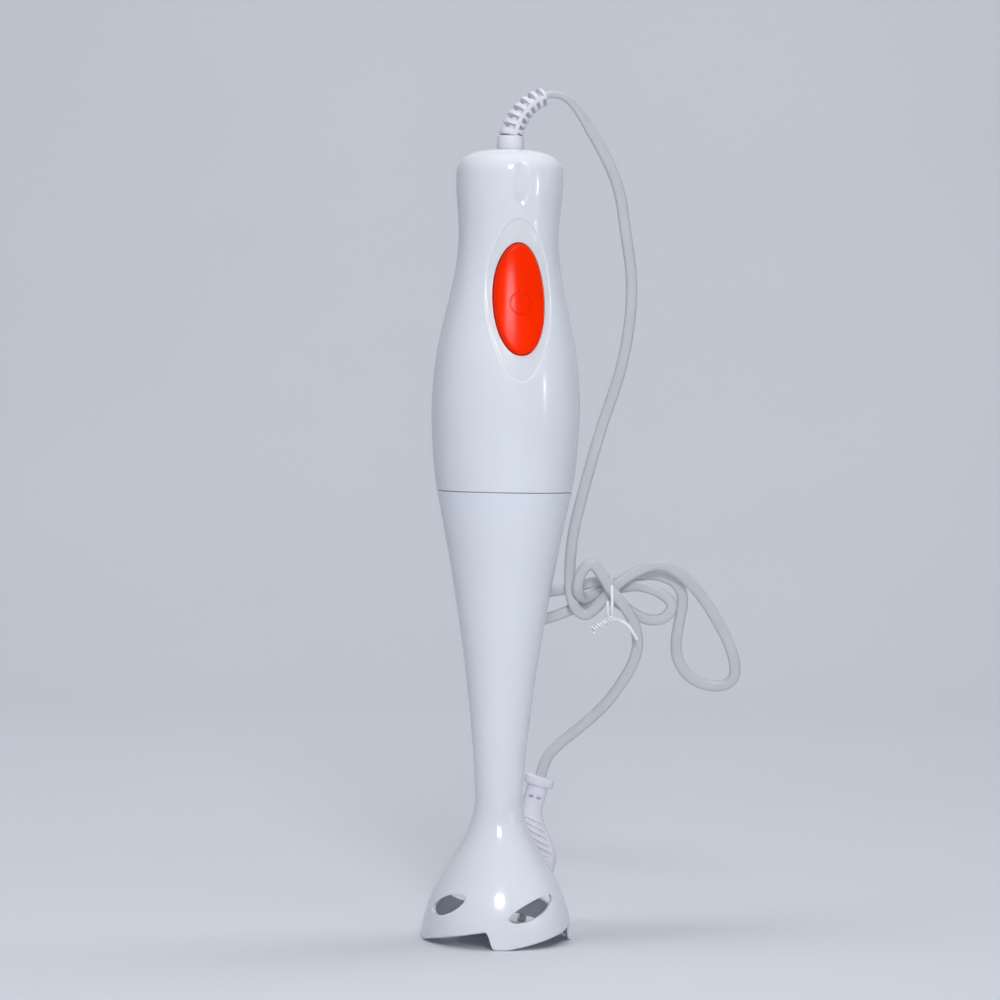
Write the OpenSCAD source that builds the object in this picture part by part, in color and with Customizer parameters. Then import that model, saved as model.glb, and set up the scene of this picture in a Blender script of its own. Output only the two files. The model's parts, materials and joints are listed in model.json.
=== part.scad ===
// Immersion blender: a hand-held motor housing above a twist-off blending stem.
// Millimetres, +Z up, origin on the floor at the middle of the bell's feet, button towards -Y.

/* [Stem] */
// Height of the stem's top edge above the feet
stem_h = 196; // [180:1:215]
// Outer radius of the blade guard at the feet
bell_r = 32.8; // [30:0.5:38]
// Outer radius of the stem's narrowest place
neck_r = 10.5; // [9.5:0.5:12.5]
// Height of the narrowest place above the feet
neck_z = 61; // [55:1:66]
// Wall of the stem and the blade guard
stem_wall = 1.8; // [1.4:0.1:2]
// Height of the scallops between the four feet
foot_rise = 7.6; // [5:0.5:8]

/* [Housing] */
// Outer radius where the stem meets the housing
mouth_r = 29.5; // [28:0.5:31]
// Largest outer radius of the motor housing
belly_r = 32.4; // [31:0.2:36]
// Height of that place above the parting line
belly_h = 36; // [32:1:42]
// Outer radius of the grip's waist
waist_r = 21.9; // [21:0.2:25]
// Height of the waist above the parting line
waist_h = 112; // [108:1:128]
// Outer radius of the crown
crown_r = 23.4; // [22:0.2:26]
// Height of the rounded crown above its widest place
crown_h = 13; // [10:0.5:15]
// Wall of the housing shells
shell_wall = 2; // [1.6:0.1:2.4]
// Gap between the stem and the housing
split_gap = 0.5; // [0.3:0.1:0.8]

/* [Button] */
// Half width of the power button
button_a = 11; // [9:0.2:12]
// Height of the button above its widest place
button_up = 24.4; // [20:0.2:26]
// Height of the button below its widest place
button_down = 23.4; // [20:0.2:25]
// Travel of the button
button_travel = 2; // [1:0.1:2.4]
// Gap round the button
button_gap = 0.5; // [0.2:0.05:0.6]
// How far the button stands above the grip
button_proud = 1; // [0.5:0.1:2]

/* [Motor] */
// Radius of the field core
field_r = 26; // [25:0.2:27]
// Radius of the armature core
armature_r = 14.5; // [14:0.1:14.8]
// Height of both laminated cores
stack_h = 24; // [20:1:26]
// Radius of the motor shaft and of the drive shaft
shaft_r = 2.5; // [2:0.1:3]
// Radius of the cooling fan
fan_r = 19.5; // [16:0.5:20]

/* [Joint] */
// Height of the spigot
spigot_h = 13; // [12.5:0.5:14]
// How far each locking lug stands out
lug_out = 1.7; // [1.2:0.1:2]
// Angle that each lug covers
lug_arc = 24; // [16:1:28]
// Twist from locked to free
twist_arc = 25; // [24:1:26]

/* [Blade] */
// Reach of the blade from the shaft
blade_reach = 21; // [16:0.5:23]
// Thickness of the blade
blade_t = 1.4; // [1:0.1:1.8]
// Height of the blade above the floor
blade_z = 13; // [11.5:0.5:14]

/* [Cord and plug] */
// Thickness of the cord
cord_d = 4; // [3:0.1:4]
// Radius of a plug pin
pin_r = 2; // [1.8:0.1:2.4]
// Length of a plug pin
pin_l = 19; // [16:0.5:19]
// Distance between the plug's pins
pin_pitch = 19; // [18:0.5:20]
// Length of the moulded plug, without its pins
plug_l = 47; // [44:0.5:49]
// Half width of the plug at its face
plug_a = 17.6; // [16:0.2:18]
// Half thickness of the plug at its face
plug_b = 6.85; // [6:0.1:7]

/* [Fits] */
// Radial gap of a shaft in its bush
run_gap = 0.05; // [0.02:0.01:0.09]
// Gap of a piece that is set in another
seat_gap = 0.05; // [0.02:0.01:0.1]
// Gap between pieces that slide past each other
slide_gap = 0.3; // [0.2:0.05:0.5]

/* [Hidden] */
$fn = 48;
far = 100;                       // reach of a cutter that goes right through

// Heights, from the floor up
split_z = stem_h + split_gap;    // bottom edge of the housing
belly_z = stem_h + belly_h;
waist_z = stem_h + waist_h;
crown_z = waist_z + 24;
top_z = crown_z + crown_h;
seal_h = 2;
ring_z = split_z + seal_h + 0.8; // bottom of the lock ring
ring_h = 12;
plate_z = ring_z + ring_h;       // motor plate
plate_t = 3;
fan_z = plate_z + 9;
fan_h = 6;
stack_z = fan_z + 12;            // bottom of the laminated cores
stack_top = stack_z + stack_h;
comm_z = stack_top + 7.5;
comm_h = 8;
top_plate_z = comm_z + comm_h + 2.5;
top_plate_r = 19.5;
button_z = waist_z - 29;         // widest place of the button
board_z = button_z + 5.3;        // bottom of the switch's mount
spring_z = board_z + 2;
post_z = board_z + 12;           // switch and the button's post
roof_z = 42;                     // roof of the blade guard
roof_t = 3;

// Small sizes that several pieces share
screw_r = 1.25;
screw_head_r = 2.6;
screw_head_h = 1.6;
bearing_r = 6;
bearing_h = 6.5;
bush_r = 4.5;
seal_r = 6.5;
boss_r = 8.5;                    // boss that holds the lower bush and the seal
spigot_r = mouth_r - shell_wall - 3.5;
spigot_wall = 2;
collar_r = spigot_r + 1.4;       // part of the collar that sits in the stem
collar_seat = 12;                // depth of that seat
lug_z = stem_h + 8.4;
lug_h = 3;
jaw_r = 9;
jaw_in = 3.4;
jaw_h = 6;
jaw_arc = 50;
jaw_z = stem_h + 1.6;            // bottom of the meshing jaws
boss_x = 13.5;                   // housing screws
boss_z = waist_z + 9.4;
wire_r = 1.1;
wire_x = 2.2;
clamp_z = waist_z + 17.4;
relief_bore = 4.5;               // neck of the strain relief in the crown
bezel_deep = 0.8;
bezel_a = button_a + 2.9;
bezel_up = button_up + 10.6;
dimple_z = crown_z - 3;

// Outline of the stem and the housing: radius at height z, moved in by off
function bell_at(z) = neck_r + (bell_r - neck_r) * (1 + cos(180 * pow(z / neck_z, 1.15))) / 2;
function cone_at(z) = neck_r + (mouth_r - neck_r) * pow((z - neck_z) / (stem_h - neck_z), 1.5);
function stem_at(z) = z < neck_z ? bell_at(z) : cone_at(z);
function belly_at(z) = belly_r - (belly_r - mouth_r) * pow((belly_z - z) / belly_h, 2);
function grip_at(z) = waist_r + (belly_r - waist_r)
    * (1 + cos(180 * pow((z - belly_z) / (waist_z - belly_z), 1.15))) / 2;
function neck_at(z) = waist_r
    + (crown_r - waist_r) * (1 - cos(180 * (z - waist_z) / (crown_z - waist_z))) / 2;
function crown_at(z, off) = (crown_r - off)
    * pow(max(0, 1 - pow(min(1, (z - crown_z) / (crown_h - off)), 3)), 1 / 3);
function grip_r(z, off) =
    z > crown_z ? crown_at(z, off) :
    z > waist_z ? neck_at(z) - off :
    z > belly_z ? grip_at(z) - off : belly_at(z) - off;
function steps(a, b, n) = [for (i = [0:n]) a + (b - a) * i / n];
function eased(a, b, n) = [for (i = [0:n]) a + (b - a) * sin(90 * i / n)];
function after(list) = [for (i = [1:len(list) - 1]) list[i]];
grip_heights = concat(steps(split_z, belly_z, 4), after(steps(belly_z, waist_z, 12)),
    after(steps(waist_z, crown_z, 4)));
function grip_outline(off) = concat(
    [for (z = grip_heights) [grip_r(z, off), z]],
    [for (z = after(eased(crown_z, top_z - off, 9))) [crown_at(z, off), z]]);

// The whole grip as one solid, its skin moved in by off
module grip_solid(off, bottom = split_z) {
    outline = grip_outline(off);
    rotate_extrude()
        polygon(concat([[0, bottom], [outline[0][0], bottom]], outline));
}

module tube(r_out, r_in, z0, h) {
    translate([0, 0, z0]) difference() {
        cylinder(r = r_out, h = h);
        translate([0, 0, -1]) cylinder(r = r_in, h = h + 2);
    }
}

module at_sides(x) {
    for (s = [-1, 1]) translate([s * x, 0, 0]) children();
}

// A prism along Y from the front face at y0, with its outline in X and Z
module from_front(depth, y0 = -50) {
    translate([0, y0 + depth, 0]) rotate([90, 0, 0]) linear_extrude(depth) children();
}

// Egg of the button, grown by g: a round top and a fuller bottom
module egg(g = 0) {
    a = button_a + g;
    polygon(concat(
        [for (t = [0:10:180]) [a * cos(t), button_z + (button_up + g) * sin(t)]],
        [for (t = [190:10:350])
            [a * sign(cos(t)) * pow(abs(cos(t)), 0.94),
                button_z - (button_down + g) * pow(-sin(t), 0.94)]]));
}

module oval(a, b, z0) {
    polygon([for (t = [0:10:350]) [a * cos(t), z0 + b * sin(t)]]);
}

module grip_cuts() {
    // button opening, its shallow surround and the dimple near the top
    from_front(48) egg(button_gap);
    difference() {
        from_front(40) oval(bezel_a, bezel_up, button_z);
        grip_solid(bezel_deep, split_z + 10);
    }
    difference() {
        from_front(40) oval(4, 8.5, dimple_z);
        grip_solid(0.5, split_z + 10);
    }
}

module grip_shell() {
    difference() {
        grip_solid(0);
        grip_solid(shell_wall, split_z - 1);
        translate([0, 0, top_z - crown_h]) cylinder(r = relief_bore + seat_gap, h = 2 * crown_h);
    }
}

// Screw pillar along Y between the two shells
module pillar(y0, y1, bore) {
    translate([0, y0, boss_z]) rotate([-90, 0, 0]) difference() {
        cylinder(r = 3, h = y1 - y0, $fn = 24);
        translate([0, 0, -1]) cylinder(r = bore, h = y1 - y0 + 2, $fn = 24);
    }
}

pillar_y = sqrt(pow(grip_r(boss_z, shell_wall), 2) - pow(boss_x, 2)) + 0.8;
head_y = pillar_y - 1.6;

module housing_front() {
    color([0.93, 0.94, 0.96]) {
        difference() {
            intersection() {
                grip_shell();
                translate([-far / 2, -far, 0]) cube([far, far, top_z + 10]);
            }
            grip_cuts();
        }
        intersection() {
            at_sides(boss_x) pillar(-pillar_y, -seat_gap, screw_r);
            grip_solid(shell_wall / 2);
        }
    }
}

module housing_rear() {
    color([0.93, 0.94, 0.96]) difference() {
        union() {
            intersection() {
                grip_shell();
                translate([-far / 2, 0, 0]) cube([far, far, top_z + 10]);
            }
            intersection() {
                union() {
                    at_sides(boss_x) pillar(seat_gap, pillar_y, screw_r + seat_gap);
                    translate([-8, 1, clamp_z]) cube([16, crown_r, 6]);
                }
                grip_solid(shell_wall / 2);
            }
        }
        at_sides(boss_x) translate([0, head_y - screw_head_h, boss_z]) rotate([-90, 0, 0])
            cylinder(r = screw_head_r + seat_gap, h = 20, $fn = 24);
        at_sides(6) translate([0, -1, clamp_z + 3]) rotate([-90, 0, 0])
            cylinder(r = screw_r, h = 12, $fn = 24);
    }
}

module screw(l) {
    // head at the origin, shank along -Z
    difference() {
        cylinder(r = screw_head_r, h = screw_head_h, $fn = 24);
        for (a = [0, 90]) rotate(a) translate([-1.6, -0.35, 0.8]) cube([3.2, 0.7, 2]);
    }
    translate([0, 0, -l]) cylinder(r = screw_r, h = l, $fn = 24);
}

module housing_screws() {
    color("silver") at_sides(boss_x) translate([0, head_y - screw_head_h, boss_z]) rotate([-90, 0, 0])
        screw(head_y + 6);
}

// Ring sector between two radii
module sector(r_out, r_in, z0, h, mid, arc) {
    rotate(mid - arc / 2) rotate_extrude(angle = arc) translate([r_in, z0]) square([r_out - r_in, h]);
}

groove_r = spigot_r + lug_out + slide_gap;
ledge_h = lug_z - slide_gap - ring_z;
module lock_ring() {
    color([0.85, 0.86, 0.88]) difference() {
        translate([0, 0, ring_z]) cylinder(r = mouth_r - shell_wall, h = ring_h);
        translate([0, 0, ring_z - 1]) cylinder(r = spigot_r + slide_gap, h = ring_h + 2);
        translate([0, 0, ring_z + ledge_h]) cylinder(r = groove_r, h = lug_h + 2 * slide_gap);
        for (a = [0, 120, 240])
            sector(groove_r - 0.1, spigot_r - 2, ring_z - 1, ledge_h + 1.5, a + twist_arc, lug_arc + 6);
    }
}

module seal_ring() {
    color([0.35, 0.36, 0.38])
        tube(mouth_r - shell_wall - slide_gap, groove_r, split_z + 0.4, seal_h);
}

// Strain relief: a collar on the crown, then a ribbed, bending taper towards the right
relief_turn = 10;
relief_bend = 24.5;
relief_tilt = 12;
relief_arc = 58;
relief_rib_r0 = 5.2;
relief_rib_r1 = 4.1;
relief_ribs = 7;
collar_top = top_z + 6;
module relief_bend_at(a0, a1, r) {
    // stretch of the bend from angle a0 to a1, measured from the collar
    rotate(relief_turn) translate([0, 0, collar_top]) rotate([0, relief_tilt, 0])
        translate([relief_bend, 0, 0]) rotate([90, 0, 0]) rotate(180 - a1)
            rotate_extrude(angle = a1 - a0) translate([relief_bend, 0]) circle(r = r, $fn = 24);
}

module strain_relief() {
    color([0.90, 0.89, 0.93]) {
        translate([0, 0, top_z - shell_wall - 2.5]) cylinder(r = 7, h = 2.3);
        translate([0, 0, top_z - shell_wall - 1]) cylinder(r = relief_bore, h = 3.5);
        translate([0, 0, top_z + 0.1]) cylinder(r1 = 5.8, r2 = 5.4, h = collar_top - top_z);
        relief_bend_at(-2, relief_arc, 2.9);
        for (i = [0:relief_ribs - 1]) {
            a = 1 + i * (relief_arc - 4.5) / (relief_ribs - 1);
            relief_bend_at(a, a + 3.2, relief_rib_r0 + (relief_rib_r1 - relief_rib_r0) * i / (relief_ribs - 1));
        }
    }
}

module cord_clamp() {
    color([0.25, 0.25, 0.27]) difference() {
        translate([-9, -4.5, clamp_z + 0.5]) cube([18, 4, 5]);
        for (s = [-1, 1]) translate([s * wire_x, -2.5, clamp_z - 1])
            cylinder(r = wire_r + seat_gap, h = 10, $fn = 24);
        at_sides(6) translate([0, -10, clamp_z + 3]) rotate([-90, 0, 0])
            cylinder(r = screw_r + seat_gap, h = 12, $fn = 24);
    }
}

module clamp_screws() {
    color("silver") at_sides(6) translate([0, -4.6, clamp_z + 3]) rotate([90, 0, 0])
        screw(12);
}

wire_y = -2.5;
switch_top = board_z + 17;
module lead_wires() {
    color([0.55, 0.35, 0.2]) for (s = [-1, 1]) translate([s * wire_x, wire_y, switch_top + 0.2])
        cylinder(r = wire_r, h = top_z - shell_wall - 3 - switch_top, $fn = 24);
}

// Behind the button: mount, switch, board and capacitor
mount_t = 2;
switch_front = -9.5;
module switch_mount() {
    color([0.2, 0.21, 0.23]) {
        translate([-11, 0, board_z - 1]) cube([22, mount_t, 25]);
        translate([0, 0, spring_z]) rotate([90, 0, 0]) cylinder(r = 2, h = 9, $fn = 24);
    }
}

module switch_body() {
    color([0.12, 0.12, 0.13]) difference() {
        translate([-6.4, switch_front, board_z + 7]) cube([12.8, -switch_front - 0.05, 10]);
        translate([0, switch_front - 1, post_z]) rotate([-90, 0, 0])
            cylinder(r = 1.2 + run_gap, h = 5, $fn = 24);
    }
}

module switch_plunger() {
    color([0.75, 0.1, 0.08]) translate([0, switch_front - 2, post_z]) rotate([-90, 0, 0])
        cylinder(r = 1.2, h = 4, $fn = 24);
}

module circuit_board() {
    color([0.15, 0.42, 0.25]) translate([-12, mount_t + 1.2, board_z - 1]) cube([24, 1.6, 22]);
}

module capacitor() {
    color([0.85, 0.7, 0.2]) translate([-6, mount_t + 2.85, board_z + 4]) cube([12, 6, 12]);
}

// Button: a proud cap over an inner flange, with a post behind it for the switch
post_gap = 0.45 * button_travel;
post_end = switch_front - 2 - post_gap;
module power_button() {
    color([0.97, 0.20, 0.03]) {
        difference() {
            union() {
                intersection() {
                    from_front(42) egg(0);
                    grip_solid(-button_proud);
                }
                intersection() {
                    from_front(42) egg(1.2);
                    grip_solid(shell_wall + 0.4);
                }
            }
            grip_solid(shell_wall + 1.8, split_z - 1);
            // room for the field core when the button is pressed
            cylinder(r = field_r + button_travel + slide_gap, h = stack_top + slide_gap);
            difference() {
                from_front(42) egg(-1.8);
                difference() {
                    translate([-far / 2, -far, 0]) cube([far, 2 * far, top_z]);
                    grip_solid(1.2);
                }
            }
        }
        // post for the switch, and the seat of the return spring
        translate([0, post_end, post_z]) rotate([90, 0, 0])
            cylinder(r = 2, h = grip_r(post_z, 0.6) + post_end, $fn = 24);
        translate([0, -14.5, spring_z]) rotate([90, 0, 0])
            cylinder(r = 2, h = grip_r(spring_z, 0.6) - 14.5, $fn = 24);
    }
}

module button_spring() {
    // stacked wire rings between the mount and the button
    color("silver") for (i = [0:6])
        translate([0, -0.6 - i * 2.6, spring_z]) rotate([90, 0, 0])
            rotate_extrude() translate([2.9, 0]) circle(r = 0.35, $fn = 16);
}

// Motor
module field_core() {
    color([0.55, 0.56, 0.58]) difference() {
        translate([0, 0, stack_z]) cylinder(r = field_r, h = stack_h);
        translate([0, 0, stack_z - 1]) cylinder(r = armature_r + 0.5, h = stack_h + 2);
        for (sx = [-1, 1], sy = [-1, 1])
            translate([sx * 14.3 - 2.8, sy * 15.5 - 2.6, stack_z - 1]) cube([5.6, 5.2, stack_h + 2]);
        at_sides(field_r - 2.6) translate([0, 0, stack_z - 1]) cylinder(r = 1.5, h = stack_h + 2, $fn = 24);
    }
}

module field_coils() {
    color([0.72, 0.38, 0.18]) for (s = [-1, 1]) difference() {
        translate([-16.7, s * 15.5 - 2, stack_z - 5]) cube([33.4, 4, stack_h + 10]);
        translate([-11.9, s * 15.5 - 3, stack_z - 0.6]) cube([23.8, 6, stack_h + 1.2]);
    }
}

module lower_bracket() {
    color([0.2, 0.21, 0.23]) difference() {
        union() {
            translate([0, 0, plate_z]) cylinder(r = mouth_r - shell_wall, h = plate_t);
            translate([0, 0, plate_z]) cylinder(r = bearing_r + 2, h = bearing_h);
            at_sides(field_r - 2.6) translate([0, 0, plate_z])
                cylinder(r = 3, h = stack_z - plate_z, $fn = 24);
        }
        translate([0, 0, plate_z - 1]) cylinder(r = bearing_r + seat_gap, h = bearing_h + 2);
        at_sides(field_r - 2.6) translate([0, 0, plate_z - 1]) cylinder(r = screw_r, h = stack_z, $fn = 24);
        for (a = [45:45:359]) if (a != 180) rotate(a) translate([16, 0, plate_z - 1])
            cylinder(r = 3.5, h = plate_t + 2, $fn = 24);
    }
}

module upper_bracket() {
    color([0.2, 0.21, 0.23]) difference() {
        union() {
            translate([0, 0, top_plate_z]) cylinder(r = top_plate_r, h = 2.5);
            translate([0, 0, top_plate_z]) cylinder(r = bearing_r + 2, h = bearing_h);
            at_sides(field_r - 9.2) translate([-2.8, -5, stack_top])
                cube([5.6, 10, top_plate_z - stack_top + 2.5]);
            at_sides(field_r - 4) translate([-4, -5, stack_top]) cube([8, 10, 2.5]);
        }
        translate([0, 0, top_plate_z - 1]) cylinder(r = bearing_r + seat_gap, h = bearing_h + 2);
        at_sides(field_r - 2.6) translate([0, 0, stack_top - 1])
            cylinder(r = screw_r + seat_gap, h = 5, $fn = 24);
        for (s = [-1, 1]) translate([0, s * 13, top_plate_z - 1]) cylinder(r = 4, h = 5, $fn = 24);
    }
}

module bearing(z0) {
    color([0.72, 0.55, 0.3]) tube(bearing_r, shaft_r + run_gap, z0, bearing_h - 0.5);
}

module lower_bearing() {
    bearing(plate_z + 0.25);
}

module upper_bearing() {
    bearing(top_plate_z + 0.25);
}

comm_r = 8;
brush_in = comm_r + 0.1;
module brush_holders() {
    color("goldenrod") for (s = [-1, 1]) difference() {
        translate([-4.5, s * 14 - 4.5, comm_z + 1]) cube([9, 9, top_plate_z - comm_z - 1]);
        translate([-3.05, s * 14 - 6, comm_z + 2]) cube([6.1, 12, 5.1]);
    }
}

module carbon_brushes() {
    color([0.1, 0.1, 0.1]) for (s = [0, 180]) rotate(s)
        translate([-3, brush_in, comm_z + 2.05]) cube([6, 9, 5]);
}

module bracket_screws() {
    color("silver") at_sides(field_r - 2.6) translate([0, 0, stack_top + 2.5]) screw(stack_h + 12);
}

module motor_shaft() {
    color("silver") translate([0, 0, jaw_z + jaw_h - 0.2])
        cylinder(r = shaft_r, h = top_plate_z + bearing_h + 1 - jaw_z - jaw_h);
}

module armature_core() {
    color([0.5, 0.51, 0.53]) difference() {
        translate([0, 0, stack_z]) cylinder(r = armature_r, h = stack_h);
        translate([0, 0, stack_z - 1]) cylinder(r = shaft_r, h = stack_h + 2);
        for (a = [0:30:359]) rotate(a) translate([armature_r - 4, -1.1, stack_z - 1])
            cube([5, 2.2, stack_h + 2]);
    }
}

module armature_windings() {
    color([0.75, 0.4, 0.18]) {
        tube(armature_r - 1.5, shaft_r + 0.5, stack_z - 5.5, 5.45);
        tube(armature_r - 1.5, shaft_r + 0.5, stack_top + 0.05, 6.5);
    }
}

module commutator() {
    color([0.8, 0.5, 0.25]) difference() {
        tube(comm_r, shaft_r, comm_z, comm_h);
        for (a = [0:15:359]) rotate(a) translate([comm_r - 0.7, -0.2, comm_z - 1])
            cube([2, 0.4, comm_h + 2]);
    }
}

module cooling_fan() {
    color([0.15, 0.3, 0.55]) {
        tube(6, shaft_r, fan_z, fan_h);
        tube(fan_r, shaft_r + 1, fan_z, 1.2);
        for (a = [0:40:359]) rotate(a) rotate([0, 0, 14]) translate([5, -0.6, fan_z])
            cube([fan_r - 6, 1.2, fan_h]);
    }
}

module jaws(z0, turn) {
    for (a = [0, 180]) sector(jaw_r, jaw_in, z0, jaw_h, turn + a, jaw_arc);
}

module motor_coupler() {
    color([0.88, 0.88, 0.86]) {
        tube(jaw_r, shaft_r, jaw_z + jaw_h, plate_z - jaw_z - jaw_h - 0.6);
        jaws(jaw_z + 0.4, 90);
    }
}

// Stem
hub_z = stem_h - 18;
function inner_at(z) = stem_at(z) - stem_wall;

module stem_tube() {
    outer = [for (z = steps(neck_z, stem_h, 9)) [stem_at(z), z]];
    inner = [for (z = steps(stem_h - collar_seat, neck_z, 8)) [inner_at(z), z]];
    color([0.93, 0.94, 0.96]) rotate_extrude() polygon(concat(
        outer,
        [[collar_r + seat_gap, stem_h], [collar_r + seat_gap, stem_h - collar_seat]],
        inner));
}

module blade_guard() {
    outer = [for (z = steps(0, neck_z, 16)) [stem_at(z), z]];
    inner = [for (z = steps(neck_z, 0, 16)) [inner_at(z), z]];
    color([0.93, 0.94, 0.96]) difference() {
        rotate_extrude() polygon(concat(outer, inner));
        for (a = [0:90:359]) rotate(a + foot_turn) scallop();
        for (a = [0, 180]) rotate(a) {
            guard_window(window_wide, 12.6, 3.6, 17.3, 20);
            guard_window(window_narrow, 9.8, 4.1, 18.2, 20);
        }
    }
}

// Roof of the guard, with the boss for the lower bush and the seal
module bearing_carrier() {
    rim = [for (z = steps(roof_z - 4, roof_z + roof_t, 4)) [inner_at(z) - seat_gap, z]];
    color([0.86, 0.87, 0.9]) rotate_extrude() polygon(concat(
        [[seal_r + seat_gap, roof_z - 18], [boss_r, roof_z - 18], [boss_r, roof_z - 4]],
        rim,
        [[bush_r + seat_gap, roof_z + roof_t], [bush_r + seat_gap, roof_z - 12]],
        [[seal_r + seat_gap, roof_z - 12]]));
}

// Directions round the axis, in degrees from +X
foot_turn = -90 - 9;             // middle of the front foot
foot_arc = 11;
ramp_arc = 73.5;
drop_arc = 5.5;
window_wide = -90 + 20;
window_narrow = -90 - 60;

// One gap between two feet: a long ramp up, then a steep round drop to the next foot
module scallop() {
    mid = foot_arc / 2 + (ramp_arc + drop_arc) / 2;
    reach = (ramp_arc + drop_arc) / 2;
    r = bell_r;
    ramp = [for (t = steps(-reach, reach - drop_arc, 10)) [r * sin(t), foot_rise * (t + reach) / ramp_arc]];
    drop = [for (k = after(steps(0, 1, 6)))
        [r * sin(reach - drop_arc + drop_arc * k), foot_rise * (1 + cos(180 * k)) / 2]];
    rotate(mid) rotate([90, 0, 90]) translate([0, 0, 14]) linear_extrude(30)
        polygon(concat([[-r * sin(reach), -2]], ramp, drop, [[r * sin(reach), -2]]));
}

// Slanted leaf-shaped window through the blade guard
module guard_window(turn, half_l, half_h, z0, slope) {
    rotate(turn) translate([0, 0, z0]) rotate([90, 0, 90]) translate([0, 0, 14]) linear_extrude(30)
        rotate(slope) polygon([for (t = [0:15:345]) [half_l * cos(t), half_h * sin(t)]]);
}

module stem_collar() {
    color([0.86, 0.87, 0.9]) difference() {
        union() {
            translate([0, 0, stem_h - collar_seat]) cylinder(r = collar_r, h = collar_seat - 0.2);
            translate([0, 0, stem_h - 1]) cylinder(r = spigot_r, h = spigot_h + 1);
            for (a = [0, 120, 240]) sector(spigot_r + lug_out, spigot_r - 1, lug_z, lug_h, a, lug_arc);
            translate([0, 0, hub_z]) cylinder(r = bush_r + 2.5, h = 14);
        }
        difference() {
            translate([0, 0, stem_h - collar_seat + 3])
                cylinder(r = spigot_r - spigot_wall, h = spigot_h + 20);
            translate([0, 0, hub_z]) cylinder(r = bush_r + 2.5, h = 14);
        }
        translate([0, 0, hub_z - 1]) cylinder(r = bush_r + seat_gap, h = 20);
    }
}

module upper_bush() {
    color([0.72, 0.55, 0.3]) tube(bush_r, shaft_r + run_gap, hub_z + 0.5, 12.5);
}

module lower_bush() {
    color([0.72, 0.55, 0.3]) tube(bush_r, shaft_r + run_gap, roof_z - 12, 14.5);
}

module shaft_seal() {
    color([0.1, 0.1, 0.1]) tube(seal_r, shaft_r + run_gap, roof_z - 17.8, 5.3);
}

module drive_shaft() {
    color("silver") translate([0, 0, blade_z - 5.5]) cylinder(r = shaft_r, h = jaw_z - blade_z + 5.3);
}

module stem_coupler() {
    color([0.3, 0.31, 0.33]) {
        tube(jaw_r, shaft_r, jaw_z - 3, 3);
        jaws(jaw_z - 0.2, 0);
    }
}

blade_turn = -68;
module blade_hub() {
    color("silver") tube(4.5, shaft_r, blade_z + blade_t, roof_z - 18.6 - blade_z - blade_t);
}

// Two swept wings, one tilted up and one down
module wing(tilt, rise) {
    rotate([tilt, -rise, 0]) linear_extrude(blade_t) polygon([
        [5, -3.2], [8, -4.6], [15, -3.4], [blade_reach - 1, -0.6], [blade_reach, 1.6],
        [blade_reach - 2.5, 2.6], [13, 3.4], [8, 4.4], [5, 3.2]]);
}

module blade() {
    color([0.8, 0.8, 0.82]) translate([0, 0, blade_z]) rotate(blade_turn) difference() {
        union() {
            cylinder(r = 6, h = blade_t);
            wing(9, 10);
            rotate(180) wing(9, -6);
        }
        translate([0, 0, -5]) cylinder(r = shaft_r, h = 12);
    }
}

module blade_nut() {
    color("silver") translate([0, 0, blade_z - 4.6]) difference() {
        cylinder(r = 4.4, h = 4.1, $fn = 6);
        translate([0, 0, -1]) cylinder(r = shaft_r, h = 8, $fn = 48);
    }
}

// Cord: out of the strain relief, down beside the grip, twice round the bundle, then to the plug
relief_end = relief_tilt + relief_arc;
relief_dir = [sin(relief_end) * cos(relief_turn), sin(relief_end) * sin(relief_turn), cos(relief_end)];
relief_reach = relief_bend * (cos(relief_tilt) - cos(relief_end));
relief_tip = [relief_reach * cos(relief_turn), relief_reach * sin(relief_turn),
    collar_top + relief_bend * (sin(relief_end) - sin(relief_tilt))];
cord_route = [
    [26, 5, 369], [33, 6, 362], [39, 7, 353], [46, 8, 342], [52, 9, 328], [55, 11, 312], [59, 13, 292],
    [59, 15, 272], [56, 18, 250], [50, 21, 230], [46, 24, 214], [41, 27, 192], [38, 28, 178],
    [37, 29, 165], [37, 29, 152], [39, 28, 144], [44, 28, 140], [49, 26, 144], [55, 24, 152],
    [62, 23, 158], [69, 21, 162], [77, 19, 164], [86, 18, 159], [95, 17, 150], [102, 16, 139],
    [108, 15, 128], [111, 15, 117], [109, 16, 111], [102, 18, 109], [92, 20, 112], [86, 22, 120],
    [85, 23, 129], [87, 23, 140], [88, 23, 148], [86, 23, 154], [80, 25, 158], [72, 27, 159],
    [64, 28, 157], [56, 30, 156], [48, 31, 155], [38, 33, 152], [26, 35, 150], [12, 38, 150],
    [4, 40, 148], [0, 41, 143], [4, 40, 138], [16, 37, 136], [28, 35, 138], [40, 33, 143],
    [48, 31, 146], [56, 30, 148], [62, 27, 144], [70, 23, 139], [78, 20, 139], [82, 19, 144],
    [81, 20, 148], [75, 22, 152], [68, 25, 154], [62, 28, 153], [56, 30, 152], [50, 31, 150],
    [45, 29, 148], [41, 26, 149], [39, 23, 154], [41, 22, 161], [45, 21, 164], [49, 21, 160],
    [54, 20, 152], [59, 19, 146], [64, 20, 139], [67, 21, 130], [66, 23, 120], [60, 27, 108],
    [52, 30, 97], [40, 34, 86], [31, 36, 78]
];

function unit(v) = v / norm(v);
function turn_frame(n, a, b) = unit(n - b * (n * b));  // carries the side vector to the next direction

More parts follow.
